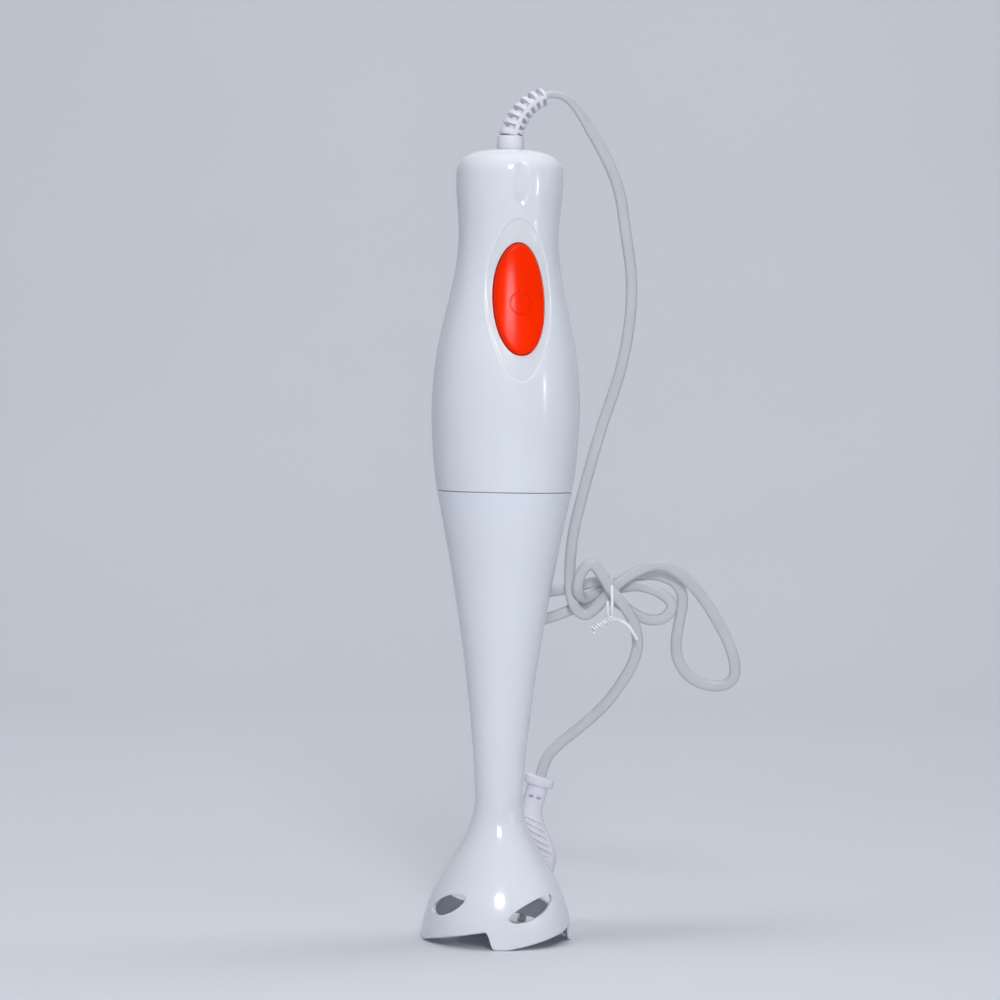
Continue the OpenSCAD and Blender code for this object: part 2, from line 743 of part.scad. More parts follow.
// Closed tube through a list of points: rings of sides points, square to the path
module swept(path, r, sides) {
    n = len(path);
    dirs = [for (i = [0:n - 1]) unit(path[min(i + 1, n - 1)] - path[max(i - 1, 0)])];
    frames = [for (i = 0, f = unit(cross(dirs[0], [0, 1, 0])); i < n;
        i = i + 1, f = i < n ? turn_frame(f, dirs[i - 1], dirs[i]) : f) f];
    points = [for (i = [0:n - 1]) let (f = frames[i], g = cross(dirs[i], f))
        for (k = [0:sides - 1]) let (a = 360 * k / sides) path[i] + r * (cos(a) * f + sin(a) * g)];
    walls = [for (i = [0:n - 2], k = [0:sides - 1]) let (a = i * sides + k, b = i * sides + (k + 1) % sides)
        [a + sides, b + sides, b, a]];
    polyhedron(points, concat(walls, [[for (k = [0:sides - 1]) k]],
        [[for (k = [sides - 1:-1:0]) (n - 1) * sides + k]]));
}

// The route's first points rise with the housing, and its last ones move with the plug
crown_at_rest = 345;
plug_at_rest = [27, 37, 67];
fall_end = 16;                   // lowest point of the fall beside the grip
tail = 8;                        // points in the tail above the plug
function laid(i) =
    let (p = cord_route[i], n = len(cord_route), fall = max(0, fall_end - i) / fall_end,
        near = max(0, i + 1 - (n - tail)) / tail)
    p + [0, 0, (top_z - crown_at_rest) * fall] + (plug_top - plug_at_rest) * near;

module power_cord() {
    start = [for (k = [0.05, 4]) relief_tip + k * relief_dir];
    end = [for (k = [4, 0.05]) plug_top + k * plug_dir];
    route = [for (i = [0:len(cord_route) - 1]) laid(i)];
    color([0.86, 0.87, 0.88]) swept(concat(start, route, end), cord_d / 2, 8);
}

// Plug: leans beside the stem on the tip of one pin
plug_lean = 15;
plug_turn = -12;
plug_top = [27, bell_r + 4.2,
    (plug_l + pin_l) * cos(plug_lean) + (pin_pitch / 2 + pin_r) * sin(plug_lean) + 0.3];
plug_dir = [sin(plug_lean) * cos(plug_turn), sin(plug_lean) * sin(plug_turn), cos(plug_lean)];
module at_plug() {
    // X across the pins, Z along the plug towards the cord, origin at the cord end
    translate(plug_top) rotate(plug_turn) rotate([0, plug_lean, 0]) children();
}

module plug_body() {
    wide = [[-6.2, 0], [-6.2, -2], [-4.4, -2.6], [-4.6, -12], [-7, -19], [-12, -27], [-16.4, -34],
        [-plug_a, -38], [-plug_a, -plug_l + 1], [-plug_a + 1, -plug_l]];
    thin = [[-4.2, 0], [-4.2, -2], [-3.6, -2.6], [-3.6, -12], [-5, -22], [-plug_b, -31],
        [-plug_b, -plug_l + 1], [-plug_b + 1, -plug_l]];
    color([0.90, 0.89, 0.93]) at_plug() intersection() {
        rotate([90, 0, 0]) translate([0, 0, -20]) linear_extrude(40) both_sides(wide);
        rotate([90, 0, 90]) translate([0, 0, -20]) linear_extrude(40) both_sides(thin);
    }
}

module both_sides(half) {
    n = len(half);
    polygon(concat(half, [for (i = [n - 1:-1:0]) [-half[i][0], half[i][1]]]));
}

module plug_pins() {
    color([0.8, 0.8, 0.78]) at_plug() at_sides(pin_pitch / 2)
        translate([0, 0, -plug_l - pin_l]) {
            translate([0, 0, 0.6]) cylinder(r = pin_r, h = pin_l - 0.65);
            cylinder(r1 = pin_r - 0.6, r2 = pin_r, h = 0.6);
        }
}

// Wire tie round the bundle, with its twisted ends
tie_at = [55, 25.5, 152];
tie_r = 9.2;
tie_wire = 0.5;
module cord_tie() {
    color([0.95, 0.95, 0.97]) translate(tie_at) rotate(-12) {
        rotate([0, 90, 0]) rotate_extrude() translate([tie_r, 0]) circle(r = tie_wire, $fn = 16);
        translate([0, -6, -7]) rotate([25, 215, 0]) cylinder(r = 0.9, h = 9, $fn = 16);
    }
}

housing_front();
housing_rear();
housing_screws();
lock_ring();
strain_relief();
cord_clamp();
clamp_screws();
lead_wires();
circuit_board();
capacitor();
switch_mount();
switch_body();
field_core();
field_coils();
lower_bracket();
upper_bracket();
lower_bearing();
upper_bearing();
brush_holders();
carbon_brushes();
bracket_screws();
power_button();
button_spring();
switch_plunger();
motor_shaft();
armature_core();
armature_windings();
commutator();
cooling_fan();
motor_coupler();
seal_ring();
stem_tube();
blade_guard();
bearing_carrier();
stem_collar();
upper_bush();
lower_bush();
shaft_seal();
drive_shaft();
stem_coupler();
blade_hub();
blade();
blade_nut();
power_cord();
cord_tie();
plug_body();
plug_pins();
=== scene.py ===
"""Immersion blender: smooth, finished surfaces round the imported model.

Lengths are millimetres unless a name ends in _m, and MM turns them into metres. +Z is up, the
button faces -Y and the origin is on the floor at the middle of the blade guard's feet.
"""
import json
import math

import bmesh
import bpy
from mathutils import Matrix, Vector


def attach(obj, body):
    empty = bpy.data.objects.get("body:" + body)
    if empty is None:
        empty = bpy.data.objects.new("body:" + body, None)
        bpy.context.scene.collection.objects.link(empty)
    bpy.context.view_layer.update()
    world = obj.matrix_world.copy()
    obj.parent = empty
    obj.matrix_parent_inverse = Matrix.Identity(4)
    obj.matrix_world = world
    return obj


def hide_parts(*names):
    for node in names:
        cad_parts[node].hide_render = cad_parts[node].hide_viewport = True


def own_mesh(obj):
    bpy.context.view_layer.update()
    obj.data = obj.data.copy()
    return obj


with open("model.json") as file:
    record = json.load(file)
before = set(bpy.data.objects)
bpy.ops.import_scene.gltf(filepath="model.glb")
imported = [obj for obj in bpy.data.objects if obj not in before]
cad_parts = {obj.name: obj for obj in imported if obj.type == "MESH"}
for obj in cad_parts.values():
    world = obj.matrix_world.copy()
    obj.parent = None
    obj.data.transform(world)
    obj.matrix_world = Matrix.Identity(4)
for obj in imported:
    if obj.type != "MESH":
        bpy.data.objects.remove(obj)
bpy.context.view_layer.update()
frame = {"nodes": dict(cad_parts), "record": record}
MM = 0.001

# Sizes that the outlines need, as in the part
STEM_H = 196.0
BELL_R = 32.8
NECK_R, NECK_Z = 10.5, 61.0
MOUTH_R = 29.5
BELLY_R, BELLY_Z = 32.4, 232.0
WAIST_R, WAIST_Z = 21.9, 308.0
CROWN_R, CROWN_Z, CROWN_H = 23.4, 332.0, 13.0
TOP_Z = CROWN_Z + CROWN_H
SPLIT_Z = 196.5
SHELL = 2.0
STEM_WALL = 1.8
FOOT_RISE, FOOT_TURN, FOOT_ARC, RAMP_ARC, DROP_ARC = 7.6, -99.0, 11.0, 73.5, 5.5
ROOF_Z = 42.0
BUTTON_Z, BUTTON_A, BUTTON_UP, BUTTON_DOWN = 279.0, 11.0, 24.4, 23.4
BUTTON_GAP, BUTTON_PROUD = 0.5, 1.0
BEZEL_A, BEZEL_UP, BEZEL_DEEP = 13.9, 35.0, 0.8
DIMPLE_Z = 329.0
CORE_CLEAR_R, CORE_TOP_Z = 28.35, 259.5      # the button's rim stays outside this radius below this height
BORE_R = 4.6                                 # hole in the crown for the strain relief


# ---------------------------------------------------------------- camera
CAMERA_TURN = math.radians(-12)
CAMERA_AWAY_m, CAMERA_HEIGHT_m = 1.40, 0.234
CAMERA_PITCH, CAMERA_ROLL = math.radians(1.7), math.radians(1.01)
CAMERA_SIDE_m = -0.0018
CAMERA_LENS, CAMERA_SENSOR = 115.4, 36.0


def add_camera():
    away = Vector((-math.sin(CAMERA_TURN), math.cos(CAMERA_TURN), 0))
    right = Vector((math.cos(CAMERA_TURN), math.sin(CAMERA_TURN), 0))
    data = bpy.data.cameras.new("camera")
    data.lens, data.sensor_width = CAMERA_LENS, CAMERA_SENSOR
    camera = bpy.data.objects.new("camera", data)
    bpy.context.collection.objects.link(camera)
    look = (away * math.cos(CAMERA_PITCH) - Vector((0, 0, math.sin(CAMERA_PITCH)))).normalized()
    up = right.cross(look)
    place = Matrix((right, up, -look)).transposed().to_4x4() @ Matrix.Rotation(CAMERA_ROLL, 4, "Z")
    place.translation = right * CAMERA_SIDE_m - away * CAMERA_AWAY_m + Vector((0, 0, CAMERA_HEIGHT_m))
    camera.matrix_world = place
    bpy.context.scene.camera = camera


add_camera()


# ---------------------------------------------------------------- mesh helpers
def add_mesh(name, points, faces, scale=MM, sharp=35):
    """An object from points and faces, its faces turned outwards and smooth but for sharp edges."""
    mesh = bpy.data.meshes.new(name)
    mesh.from_pydata([tuple(c * scale for c in p) for p in points], [], faces)
    mesh.validate()
    shape = bmesh.new()
    shape.from_mesh(mesh)
    bmesh.ops.recalc_face_normals(shape, faces=shape.faces)
    shape.to_mesh(mesh)
    shape.free()
    mesh.shade_smooth()
    mesh.set_sharp_from_angle(angle=math.radians(sharp))
    item = bpy.data.objects.new(name, mesh)
    bpy.context.collection.objects.link(item)
    return item


def add_piece(name, points, faces, body, slot, scale=MM, sharp=35, replaces=()):
    """A mesh piece that rides a body and takes the material of its slot."""
    piece = add_mesh(name, points, faces, scale, sharp)
    piece.data.materials.append(MATERIALS[slot])
    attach(piece, body)
    if replaces:
        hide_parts(*replaces)
    return piece


def strip(rows, count, wrap_rows=False, wrap=True):
    """Quads of a grid of rows, each of count points."""
    faces = []
    for i in range(rows if wrap_rows else rows - 1):
        for j in range(count if wrap else count - 1):
            a, b = i * count + j, i * count + (j + 1) % count
            c, d = ((i + 1) % rows) * count + (j + 1) % count, ((i + 1) % rows) * count + j
            faces.append((a, b, c, d))
    return faces


def lathe(outline, count=128, closed=True):
    """Points and faces of an outline of (radius, height) turned about Z; counterclockwise in r and z."""
    points = [(r * math.cos(a), r * math.sin(a), z) for r, z in outline
              for a in (2 * math.pi * k / count for k in range(count))]
    return points, strip(len(outline), count, wrap_rows=closed)


def join(*parts):
    """Several (points, faces) as one."""
    points, faces = [], []
    for more, quads in parts:
        faces += [tuple(i + len(points) for i in q) for q in quads]
        points += list(more)
    return points, faces


def moved(part, place):
    return [tuple(place @ Vector(p)) for p in part[0]], part[1]


def spline(route, per=6):
    """Catmull-Rom curve through a list of points."""
    pts = [Vector(p) for p in route]
    pts = [2 * pts[0] - pts[1]] + pts + [2 * pts[-1] - pts[-2]]
    out = []
    for p0, p1, p2, p3 in zip(pts, pts[1:], pts[2:], pts[3:]):
        for k in range(per):
            t = k / per
            out.append(0.5 * ((2 * p1) + (p2 - p0) * t + (2 * p0 - 5 * p1 + 4 * p2 - p3) * t * t
                              + (3 * p1 - p0 - 3 * p2 + p3) * t ** 3))
    return out + [pts[-2]]


def eased(path, rounds):
    """The path with its corners rounded off and its ends kept."""
    for _ in range(rounds):
        path = path[:2] + [(a + b * 2 + c) / 4 for a, b, c in zip(path[1:], path[2:], path[3:])] + path[-2:]
    return path


def directions(path):
    last = len(path) - 1
    return [(path[min(i + 1, last)] - path[max(i - 1, 0)]).normalized() for i in range(last + 1)]


def sweep(path, section, lean=None):
    """A closed tube along path. section(i, share) gives ring points (across, over); lean(share, direction)
    says where the section's second axis points, or the ring is carried along without a twist."""
    last = len(path) - 1
    over, points = directions(path)[0].orthogonal(), []
    for i, (p, d) in enumerate(zip(path, directions(path))):
        over = lean(i / last, d) if lean else over
        over = (over - d * over.dot(d)).normalized()
        across = over.cross(d)
        ring = section(i, i / last)
        points += [p + across * a + over * b for a, b in ring]
    n = len(ring)
    faces = strip(last + 1, n)
    faces.append(tuple(range(n)))
    faces.append(tuple(last * n + k for k in range(n))[::-1])
    return points, faces


def circle(r, n=24):
    return [(r * math.cos(2 * math.pi * k / n), r * math.sin(2 * math.pi * k / n)) for k in range(n)]


def smooth(t):
    t = min(1.0, max(0.0, t))
    return t * t * (3 - 2 * t)


# ---------------------------------------------------------------- materials
def finish(name, color, rough, metal=0.0, coat=0.0, tint=0.04, mottle=60.0, grain=900.0, bump=0.05,
           rough_range=0.06, stretch=(1, 1, 1), bands=None, ior=1.46, soft=0.0):
    """Procedural finish: slow colour drift, uneven roughness and a fine grain. bands = (axis, per metre,
    depth, darkening) adds regular lines, such as laminations or wound wire."""
    mat = bpy.data.materials.new(name)
    mat.use_nodes = True
    nodes, links = mat.node_tree.nodes, mat.node_tree.links
    shader = nodes["Principled BSDF"]
    shader.inputs["Metallic"].default_value = metal
    shader.inputs["IOR"].default_value = ior
    shader.inputs["Coat Weight"].default_value = coat
    shader.inputs["Coat Roughness"].default_value = 0.06
    shader.inputs["Subsurface Weight"].default_value = soft
    shader.inputs["Subsurface Radius"].default_value = (1.0, 0.95, 1.0)
    shader.inputs["Subsurface Scale"].default_value = 0.0025
    place = nodes.new("ShaderNodeTexCoord")
    mapping = nodes.new("ShaderNodeMapping")
    mapping.inputs["Scale"].default_value = stretch
    links.new(place.outputs["Object"], mapping.inputs["Vector"])

    def noise(scale, detail):
        node = nodes.new("ShaderNodeTexNoise")
        node.inputs["Scale"].default_value = scale
        node.inputs["Detail"].default_value = detail
        links.new(mapping.outputs["Vector"], node.inputs["Vector"])
        return node.outputs["Fac"]

    def spread(value, low, high):
        node = nodes.new("ShaderNodeMapRange")
        node.inputs["From Min"].default_value = 0.3
        node.inputs["From Max"].default_value = 0.7
        node.inputs["To Min"].default_value = low
        node.inputs["To Max"].default_value = high
        links.new(value, node.inputs["Value"])
        return node.outputs["Result"]

    drift, fine = noise(mottle, 3.0), noise(grain, 2.0)
    mix = nodes.new("ShaderNodeMix")
    mix.data_type = "RGBA"
    mix.inputs["A"].default_value = (*[c * (1 - tint) for c in color], 1)
    mix.inputs["B"].default_value = (*[min(1.0, c * (1 + tint)) for c in color], 1)
    links.new(spread(drift, 0.0, 1.0), mix.inputs["Factor"])
    shade, height = mix.outputs["Result"], fine
    if bands:
        axis, per_m, depth, dark = bands
        wave = nodes.new("ShaderNodeTexWave")
        wave.bands_direction = axis
        wave.inputs["Scale"].default_value = per_m * math.pi / 10
        wave.inputs["Distortion"].default_value = 0.15
        links.new(place.outputs["Object"], wave.inputs["Vector"])
        darker = nodes.new("ShaderNodeMix")
        darker.data_type, darker.blend_type = "RGBA", "MULTIPLY"
        darker.inputs["Factor"].default_value = dark
        links.new(shade, darker.inputs["A"])
        links.new(wave.outputs["Color"], darker.inputs["B"])
        lift = nodes.new("ShaderNodeMath")
        lift.operation = "MULTIPLY_ADD"
        lift.inputs[1].default_value = depth
        links.new(wave.outputs["Fac"], lift.inputs[0])
        links.new(fine, lift.inputs[2])
        shade, height = darker.outputs["Result"], lift.outputs["Value"]
    links.new(shade, shader.inputs["Base Color"])
    uneven = spread(drift, max(0.02, rough - rough_range), rough + rough_range)
    links.new(uneven, shader.inputs["Roughness"])
    relief = nodes.new("ShaderNodeBump")
    relief.inputs["Strength"].default_value = bump
    relief.inputs["Distance"].default_value = 0.0002
    links.new(height, relief.inputs["Height"])
    links.new(relief.outputs["Normal"], shader.inputs["Normal"])
    return mat


MATERIALS = {
    "white_gloss": finish("white_gloss", (0.72, 0.755, 0.82), 0.2, coat=0.25, tint=0.012, bump=0.012,
                          mottle=25, soft=0.5),
    "white_inner": finish("white_inner", (0.70, 0.71, 0.74), 0.42, tint=0.02, bump=0.04),
    "button_red": finish("button_red", (0.93, 0.024, 0.0), 0.2, ior=1.2, tint=0.03, bump=0.015, mottle=40),
    "soft_white": finish("soft_white", (0.72, 0.705, 0.79), 0.5, tint=0.03, bump=0.12, grain=1400),
    "cord_white": finish("cord_white", (0.52, 0.535, 0.57), 0.38, tint=0.03, bump=0.08, grain=700),
    "tie_white": finish("tie_white", (0.83, 0.84, 0.87), 0.35, tint=0.03, bump=0.05),
    "dark_plastic": finish("dark_plastic", (0.035, 0.036, 0.04), 0.45, tint=0.15, bump=0.15),
    "fan_plastic": finish("fan_plastic", (0.05, 0.09, 0.17), 0.4, tint=0.1, bump=0.08),
    "coupler_dark": finish("coupler_dark", (0.07, 0.07, 0.08), 0.4, tint=0.12, bump=0.1),
    "coupler_white": finish("coupler_white", (0.72, 0.72, 0.68), 0.4, tint=0.04, bump=0.08),
    "steel": finish("steel", (0.56, 0.56, 0.57), 0.28, metal=1, tint=0.06, bump=0.08, stretch=(1, 1, 8)),
    "blade_steel": finish("blade_steel", (0.66, 0.66, 0.67), 0.2, metal=1, tint=0.05, bump=0.1,
                          stretch=(1, 9, 1), grain=500),
    "laminations": finish("laminations", (0.20, 0.20, 0.21), 0.4, metal=0.9, tint=0.15, bump=0.5,
                          bands=("Z", 2000, 1.5, 0.5)),
    "copper": finish("copper", (0.56, 0.20, 0.07), 0.3, metal=0.9, coat=0.5, tint=0.12, bump=0.7,
                     bands=("Z", 1600, 1.5, 0.6)),
    "bronze": finish("bronze", (0.50, 0.31, 0.12), 0.45, metal=0.9, tint=0.12, bump=0.3, grain=1600),
    "brass": finish("brass", (0.66, 0.45, 0.16), 0.28, metal=1, tint=0.08, bump=0.08),
    "carbon": finish("carbon", (0.02, 0.02, 0.021), 0.6, tint=0.2, bump=0.4, grain=2000),
    "seal_rubber": finish("seal_rubber", (0.05, 0.05, 0.055), 0.6, tint=0.15, bump=0.2),
    "wire_brown": finish("wire_brown", (0.20, 0.075, 0.03), 0.4, tint=0.08, bump=0.05),
    "board_green": finish("board_green", (0.02, 0.13, 0.05), 0.35, coat=0.4, tint=0.2, bump=0.2,
                          mottle=200),
    "film_yellow": finish("film_yellow", (0.68, 0.42, 0.03), 0.3, coat=0.3, tint=0.06, bump=0.05),
    "pin_nickel": finish("pin_nickel", (0.66, 0.65, 0.62), 0.16, metal=1, tint=0.04, bump=0.05,
                         stretch=(8, 8, 1)),
}
SLOTS = {part["node"]: part["material_slot"] for part in frame["record"]["subparts"]}
for node, item in frame["nodes"].items():
    item.data.materials.clear()
    item.data.materials.append(MATERIALS[SLOTS[node]])


# ---------------------------------------------------------------- cord
RELIEF_TURN, RELIEF_TILT, RELIEF_ARC = math.radians(10), math.radians(12), math.radians(58)
RELIEF_BEND = 24.5
COLLAR_TOP = TOP_Z + 6
RELIEF_TURNED = Matrix.Rotation(RELIEF_TURN, 4, "Z")


def relief_at(bend):
    """Point and direction of the strain relief's middle after bending by an angle."""
    turned = RELIEF_TILT + bend
    point = Vector((RELIEF_BEND * (math.cos(RELIEF_TILT) - math.cos(turned)), 0,
                    COLLAR_TOP + RELIEF_BEND * (math.sin(turned) - math.sin(RELIEF_TILT))))
    return RELIEF_TURNED @ point, RELIEF_TURNED @ Vector((math.sin(turned), 0, math.cos(turned)))


PLUG_TOP = Vector((27, 37, 67))
PLUG_PLACE = (Matrix.Translation(PLUG_TOP) @ Matrix.Rotation(math.radians(-12), 4, "Z")
              @ Matrix.Rotation(math.radians(15), 4, "Y"))
PLUG_DIR = (PLUG_PLACE.to_3x3() @ Vector((0, 0, 1))).normalized()
CORD_W, CORD_T = 5.0, 3.1
CORD_EASING = 9  # rounds of smoothing
CORD_ROUTE_m = [
    (0.026, 0.005, 0.369), (0.033, 0.006, 0.362), (0.039, 0.007, 0.353), (0.046, 0.008, 0.342),
    (0.052, 0.009, 0.328), (0.055, 0.011, 0.312), (0.059, 0.013, 0.292), (0.059, 0.015, 0.272),
    (0.056, 0.018, 0.250), (0.050, 0.021, 0.230), (0.046, 0.024, 0.214), (0.041, 0.027, 0.192),
    (0.038, 0.028, 0.178), (0.037, 0.029, 0.165), (0.037, 0.029, 0.152), (0.039, 0.028, 0.144),
    (0.044, 0.028, 0.140), (0.049, 0.026, 0.144), (0.055, 0.024, 0.152), (0.062, 0.023, 0.158),
    (0.069, 0.021, 0.162), (0.077, 0.019, 0.164), (0.086, 0.018, 0.159), (0.095, 0.017, 0.150),
    (0.102, 0.016, 0.139), (0.108, 0.015, 0.128), (0.111, 0.015, 0.117), (0.109, 0.016, 0.111),
    (0.102, 0.018, 0.109), (0.092, 0.020, 0.112), (0.086, 0.022, 0.120), (0.085, 0.023, 0.129),
    (0.087, 0.023, 0.140), (0.088, 0.023, 0.148), (0.086, 0.023, 0.154), (0.080, 0.025, 0.158),
    (0.072, 0.027, 0.159), (0.064, 0.028, 0.157), (0.056, 0.030, 0.156), (0.048, 0.031, 0.155),
    (0.038, 0.033, 0.152), (0.026, 0.035, 0.150), (0.012, 0.038, 0.150), (0.004, 0.040, 0.148),
    (0.000, 0.041, 0.143), (0.004, 0.040, 0.138), (0.016, 0.037, 0.136), (0.028, 0.035, 0.138),
    (0.040, 0.033, 0.143), (0.048, 0.031, 0.146), (0.056, 0.030, 0.148), (0.062, 0.027, 0.144),
    (0.070, 0.023, 0.139), (0.078, 0.020, 0.139), (0.082, 0.019, 0.144), (0.081, 0.020, 0.148),
    (0.075, 0.022, 0.152), (0.068, 0.025, 0.154), (0.062, 0.028, 0.153), (0.056, 0.030, 0.152),
    (0.050, 0.031, 0.150), (0.045, 0.029, 0.148), (0.041, 0.026, 0.149), (0.039, 0.023, 0.154),
    (0.041, 0.022, 0.161), (0.045, 0.021, 0.164), (0.049, 0.021, 0.160), (0.054, 0.020, 0.152),
    (0.059, 0.019, 0.146), (0.064, 0.020, 0.139), (0.067, 0.021, 0.130), (0.066, 0.023, 0.120),
    (0.060, 0.027, 0.108), (0.052, 0.030, 0.097), (0.040, 0.034, 0.086), (0.031, 0.036, 0.078),
]


def stadium(w, t, n=8):
    """Outline of a flat cord: two round edges and two flat faces."""
    flat = (w - t) / 2
    ends = (flat, -90), (-flat, 90)
    bends = [(x, math.radians(a + 180 * k / n)) for x, a in ends for k in range(n + 1)]
    return [(x + t / 2 * math.cos(b), t / 2 * math.sin(b)) for x, b in bends]


tip, tip_dir = relief_at(RELIEF_ARC)
cord_start = [tip * MM + tip_dir * MM * k for k in (-3, 0, 4)]
cord_end = [(PLUG_TOP + PLUG_DIR * k) * MM for k in (4, 0, -3)]
cord_path = eased(spline(cord_start + [Vector(p) for p in CORD_ROUTE_m] + cord_end), CORD_EASING)
AWAY = Vector((-math.sin(CAMERA_TURN), math.cos(CAMERA_TURN), 0))


def cord_lean(share, along):
    """Where the flat cord's thin side points: sideways near the exit, then to the front and back."""
    return AWAY.cross(along).lerp(AWAY, smooth((share - 0.025) / 0.05))


cord_ring = [(a * MM, b * MM) for a, b in stadium(CORD_W, CORD_T)]
points, faces = sweep(cord_path, lambda i, share: cord_ring, cord_lean)
power_cord = add_piece("power_cord_flat", points, faces, "housing", "cord_white",
                       scale=1, sharp=60, replaces=["power_cord"])


# ---------------------------------------------------------------- outlines shared by the pieces
def stem_at(z):
    if z < NECK_Z:
        return NECK_R + (BELL_R - NECK_R) * (1 + math.cos(math.pi * (z / NECK_Z) ** 1.15)) / 2
    return NECK_R + (MOUTH_R - NECK_R) * ((z - NECK_Z) / (STEM_H - NECK_Z)) ** 1.5


def grip_at(z):
    """Radius of the housing below the crown."""
    if z > WAIST_Z:
        share = (z - WAIST_Z) / (CROWN_Z - WAIST_Z)
        return WAIST_R + (CROWN_R - WAIST_R) * (1 - math.cos(math.pi * share)) / 2
    if z > BELLY_Z:
        share = ((z - BELLY_Z) / (WAIST_Z - BELLY_Z)) ** 1.15
        return WAIST_R + (BELLY_R - WAIST_R) * (1 + math.cos(math.pi * share)) / 2
    return BELLY_R - (BELLY_R - MOUTH_R) * ((BELLY_Z - z) / (BELLY_Z - STEM_H)) ** 2


def grip_profile():
    """The housing's outline from the parting line to the bore in the crown, as (radius, height)."""
    side = [(grip_at(z), z) for z in (SPLIT_Z + (CROWN_Z - SPLIT_Z) * k / 400 for k in range(400))]
    crown = [(CROWN_R * math.cos(a) ** (2 / 3), CROWN_Z + CROWN_H * math.sin(a) ** (2 / 3))
             for a in (math.radians(89.99) * (k / 160) ** 1.5 for k in range(161))]
    return side + [p for p in crown if p[0] > BORE_R]


PROFILE = grip_profile()
REACHED = [0.0]
for (r0, z0), (r1, z1) in zip(PROFILE, PROFILE[1:]):
    REACHED.append(REACHED[-1] + math.hypot(r1 - r0, z1 - z0))
PROFILE_LENGTH = REACHED[-1]


def reached(z):
    """How far along the profile height z lies, below the crown."""
    low, high = 0, len(PROFILE) - 1
    while high - low > 1:
        mid = (low + high) // 2
        low, high = (mid, high) if PROFILE[mid][1] < z else (low, mid)
    share = (z - PROFILE[low][1]) / (PROFILE[high][1] - PROFILE[low][1])
    return REACHED[low] + share * (REACHED[high] - REACHED[low])


def grip_point(turn, along, depth):
    """Point of the housing at an angle from the front, along the profile, depth below the skin."""
    along = min(PROFILE_LENGTH, max(0.0, along))
    low, high = 0, len(REACHED) - 1
    while high - low > 1:
        mid = (low + high) // 2
        low, high = (mid, high) if REACHED[mid] < along else (low, mid)
    (r0, z0), (r1, z1) = PROFILE[low], PROFILE[high]
    share = (along - REACHED[low]) / (REACHED[high] - REACHED[low])
    length = math.hypot(r1 - r0, z1 - z0)
    r = r0 + share * (r1 - r0) - depth * (z1 - z0) / length
    z = z0 + share * (z1 - z0) - depth * (r0 - r1) / length
    if along <= 0.0:
        r, z = r0 - depth, z0
    return r * math.sin(turn), -r * math.cos(turn), z


def front_point(x, z, depth):
    """Point of the front skin at (x, z), depth below it in radius."""
    r = grip_at(z) - depth
    return x, -math.sqrt(max(0.0, r * r - x * x)), z


def egg(a, grow=0.0):
    """Outline of the button at angle a, grown by some distance: round above and fuller below."""
    c, s = math.cos(a), math.sin(a)
    if s >= 0:
        return (BUTTON_A + grow) * c, BUTTON_Z + (BUTTON_UP + grow) * s
    return (math.copysign((BUTTON_A + grow) * abs(c) ** 0.94, c),
            BUTTON_Z - (BUTTON_DOWN + grow) * (-s) ** 0.94)


def bezel(a, grow=0.0):
    """Outline of the surround at angle a: an oval whose lower end is narrower."""
    narrow = 1 - 0.16 * min(0.0, math.sin(a)) ** 2
    return (BEZEL_A + grow) * math.cos(a) * narrow, BUTTON_Z + (BEZEL_UP + grow) * math.sin(a)


# ---------------------------------------------------------------- housing
SEAM = math.radians(0.12)


def dimple(x, z):
    far = math.hypot(x / 3.9, (z - DIMPLE_Z) / 9.2)
    return 0.8 * smooth((1.1 - far) / 0.3)


